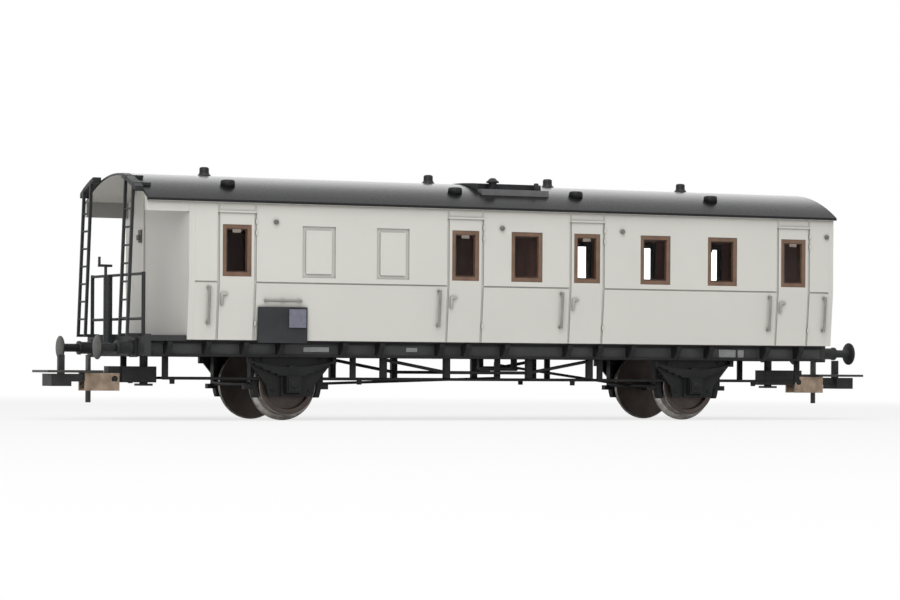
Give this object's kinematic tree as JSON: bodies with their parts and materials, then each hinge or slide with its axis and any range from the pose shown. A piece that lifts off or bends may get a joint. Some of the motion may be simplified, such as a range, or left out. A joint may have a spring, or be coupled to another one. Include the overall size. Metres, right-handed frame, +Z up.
{
  "type": "model railway workshop car",
  "caption": "Scale model of a railway workshop car: a two-axle coach body with an open brake platform, roof ladders, swinging couplers with lifting loops and turning wheelsets.",
  "frame": {"origin": "middle of the car between the coupler loops and on its centre line, at the floor that the wheel flanges stand on", "axes": "+X along the car towards the closed end, +Y towards the side away from the chalk board, +Z up"},
  "size_m": [0.17, 0.0344, 0.0459],
  "materials": {
    "wheel": "browned metal, bright at the tread edge",
    "axle_steel": "plain turned steel",
    "chassis": "matt near black moulding",
    "body_paint": "satin light warm grey paint",
    "roof_paint": "satin dark grey paint",
    "window_frame": "brown moulded frame",
    "window_clear": "clear moulded pane",
    "fittings_grey": "grey moulding",
    "board": "matt dark grey board",
    "interior_brown": "brown moulding",
    "weight_steel": "plain steel strip",
    "buffer_black": "near black moulding",
    "coupler_head": "dark grey moulding",
    "coupler_metal": "tarnished nickel plate",
    "platform_black": "near black fine moulding"
  },
  "bodies": {
    "car": {"floor": "chassis", "sole_bar_near": "chassis", "sole_bar_far": "chassis", "headstock_platform": "chassis", "headstock_closed": "chassis", "axle_guard_left_near": "chassis", "axle_guard_left_far": "chassis", "axle_guard_right_near": "chassis", "axle_guard_right_far": "chassis", "brake_gear_left": "chassis", "brake_gear_right": "chassis", "brake_shaft": "chassis", "truss_near": "chassis", "truss_far": "chassis", "tie_rod_near": "chassis", "tie_rod_far": "chassis", "coupler_seat_left": "chassis", "coupler_seat_right": "chassis", "side_wall_near": "body_paint", "side_wall_far": "body_paint", "end_wall": "body_paint", "bulkhead": "body_paint", "header_near": "body_paint", "header_far": "body_paint", "roof": "roof_paint", "roof_panel": "roof_paint", "roof_vents": "roof_paint", "roof_pot": "roof_paint", "window_frames_near": "window_frame", "window_frames_far": "window_frame", "window_panes_near": "window_clear", "window_panes_far": "window_clear", "grab_rails_near": "fittings_grey", "grab_rails_far": "fittings_grey", "door_fittings_near": "fittings_grey", "door_fittings_far": "fittings_grey", "board_rail": "fittings_grey", "chalk_board": "board", "interior": "interior_brown", "weight": "weight_steel", "buffer_left_near": "buffer_black", "buffer_left_far": "buffer_black", "buffer_right_near": "buffer_black", "buffer_right_far": "buffer_black", "railing": "platform_black", "ladder_near": "platform_black", "ladder_far": "platform_black", "brake_column": "platform_black"},
    "wheelset_left": {"wheels_left": "wheel", "axle_left": "axle_steel"},
    "coupler_left": {"drawbar_left": "chassis", "coupler_head_left": "coupler_head"},
    "loop_left": {"coupler_loop_left": "coupler_metal"},
    "wheelset_right": {"wheels_right": "wheel", "axle_right": "axle_steel"},
    "coupler_right": {"drawbar_right": "chassis", "coupler_head_right": "coupler_head"},
    "loop_right": {"coupler_loop_right": "coupler_metal"}
  },
  "joints": [
    {"name": "wheelset_left_spin", "type": "hinge", "parent": "car", "child": "wheelset_left", "pos_m": [-0.04165, 0, 0.0065], "axis": [0, 1, 0], "continuous": true},
    {"name": "wheelset_right_spin", "type": "hinge", "parent": "car", "child": "wheelset_right", "pos_m": [0.04165, 0, 0.0065], "axis": [0, 1, 0], "continuous": true},
    {"name": "coupler_left_swing", "type": "hinge", "parent": "car", "child": "coupler_left", "pos_m": [-0.0655, 0, 0.0081], "axis": [0, 0, 1], "range_deg": [-8, 8]},
    {"name": "coupler_right_swing", "type": "hinge", "parent": "car", "child": "coupler_right", "pos_m": [0.0655, 0, 0.0081], "axis": [0, 0, 1], "range_deg": [-8, 8]},
    {"name": "loop_left_lift", "type": "hinge", "parent": "coupler_left", "child": "loop_left", "pos_m": [-0.0716, 0, 0.0073], "axis": [0, 1, 0], "range_deg": [0, 12]},
    {"name": "loop_right_lift", "type": "hinge", "parent": "coupler_right", "child": "loop_right", "pos_m": [0.0716, 0, 0.0073], "axis": [0, -1, 0], "range_deg": [0, 12]}
  ]
}
